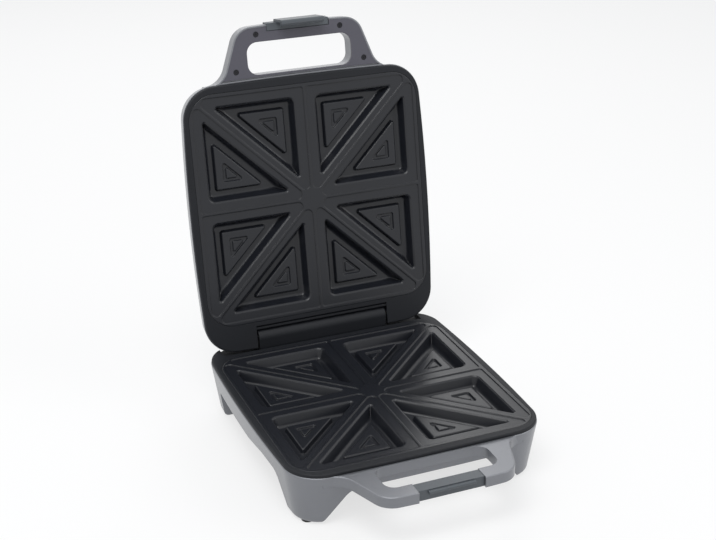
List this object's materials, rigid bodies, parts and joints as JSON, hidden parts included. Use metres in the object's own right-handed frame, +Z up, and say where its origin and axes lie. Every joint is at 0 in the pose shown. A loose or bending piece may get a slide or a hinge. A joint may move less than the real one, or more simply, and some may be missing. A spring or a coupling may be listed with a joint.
{
  "type": "sandwich toaster",
  "caption": "Hinged countertop sandwich toaster with cast triangular pockets in base and lid, handle loops, a latch lever, legs and a rear cord entry.",
  "frame": {"origin": "centre of the open object's bounding box, on the table under the feet", "axes": "+X across the casing to the right seen from the handle side, +Y from the handles to the hinge and out along the cord entry, +Z up"},
  "size_m": [0.2856, 0.4228, 0.4243],
  "materials": {
    "silver_casing": "satin silver paint",
    "bezel_black": "fine matt grain",
    "nonstick_plate": "satin non-stick coating",
    "element_steel": "dull tube",
    "sheet_steel": "zinc-plated sheet",
    "reflector_sheet": "bright sheet",
    "screw_steel": "plated",
    "pin_steel": "ground",
    "bush_brass": "turned",
    "handle_cover_grey": "fine grain",
    "latch_grey": "satin",
    "foot_rubber": "matt",
    "grommet_rubber": "matt",
    "cover_black": "fine grain",
    "block_white": "glazed",
    "thermostat_body": "moulded",
    "fuse_body": "plain",
    "red_lens": "clear tinted",
    "green_lens": "clear tinted",
    "lamp_glass": "clear",
    "board": "plain"
  },
  "bodies": {
    "base": {"base_shell": "silver_casing", "base_bezel": "bezel_black", "base_plate": "nonstick_plate", "base_heating_element": "element_steel", "base_element_clamps": "sheet_steel", "base_heat_reflector": "reflector_sheet", "base_plate_screws": "screw_steel", "thermostat": "thermostat_body", "thermal_fuse": "fuse_body", "fuse_clip": "sheet_steel", "terminal_block": "block_white", "cord_grommet": "grommet_rubber", "bottom_cover": "cover_black", "bottom_cover_screws": "screw_steel", "rubber_feet": "foot_rubber", "latch_catch": "latch_grey", "latch_catch_screws": "screw_steel", "hinge_beam": "bezel_black", "hinge_beam_screws": "screw_steel", "hinge_pins": "pin_steel"},
    "lid": {"lid_shell": "silver_casing", "lid_bezel": "bezel_black", "lid_plate": "nonstick_plate", "lid_heating_element": "element_steel", "lid_element_clamps": "sheet_steel", "lid_heat_reflector": "reflector_sheet", "lid_plate_screws": "screw_steel", "hinge_bushes": "bush_brass", "handle_cover": "handle_cover_grey", "handle_cover_screws": "screw_steel", "latch_pin": "pin_steel", "power_lens": "red_lens", "ready_lens": "green_lens", "indicator_lamps": "lamp_glass", "lamp_board": "board"},
    "latch": {"latch_lever": "latch_grey"}
  },
  "joints": [
    {"name": "lid_hinge", "type": "hinge", "parent": "base", "child": "lid", "pos_m": [0, 0.13809, 0.072], "axis": [1, 0, 0], "range_deg": [0, 99.85]},
    {"name": "latch_pivot", "type": "hinge", "parent": "lid", "child": "latch", "pos_m": [0, 0.20088, 0.41319], "axis": [-1, 0, 0], "range_deg": [0, 16]}
  ]
}
